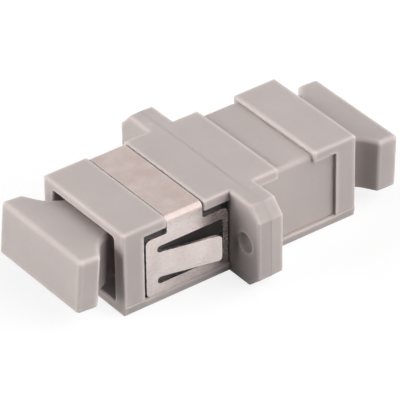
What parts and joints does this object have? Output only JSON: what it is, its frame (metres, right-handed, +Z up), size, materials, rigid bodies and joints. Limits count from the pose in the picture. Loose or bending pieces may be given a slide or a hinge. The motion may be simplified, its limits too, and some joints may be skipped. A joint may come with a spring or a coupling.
{
  "type": "sc fibre adapter",
  "caption": "Flanged simplex fibre adapter joining two square push-pull plugs, with a snap-in panel clip, a split alignment sleeve and pull-off dust caps.",
  "frame": {"origin": "on the optical axis, in the parting plane of the flange, which is the middle of the whole part", "axes": "+X along the optical axis towards the rear socket, with the clip on the -X half; Y along the flange; +Z up, away from the key slots"},
  "size_m": [0.0387, 0.0224, 0.0094],
  "materials": {
    "housing_plastic": "satin moulded grey-beige thermoplastic",
    "latch_plastic": "satin moulded thermoplastic",
    "sleeve_ceramic": "polished white zirconia ceramic",
    "clip_steel": "rolled bright stainless sheet",
    "cap_plastic": "soft satin moulded thermoplastic"
  },
  "bodies": {
    "adapter": {"front_housing": "housing_plastic", "rear_housing": "housing_plastic", "front_latch_body": "latch_plastic", "rear_latch_body": "latch_plastic", "alignment_sleeve": "sleeve_ceramic", "panel_clip": "clip_steel"},
    "front_cap": {"front_dust_cap": "cap_plastic"},
    "rear_cap": {"rear_dust_cap": "cap_plastic"}
  },
  "joints": [
    {"name": "front_cap_slide", "type": "slide", "parent": "adapter", "child": "front_cap", "axis": [-1, 0, 0], "range_m": [0, 0.025]},
    {"name": "rear_cap_slide", "type": "slide", "parent": "adapter", "child": "rear_cap", "axis": [1, 0, 0], "range_m": [0, 0.025]}
  ]
}
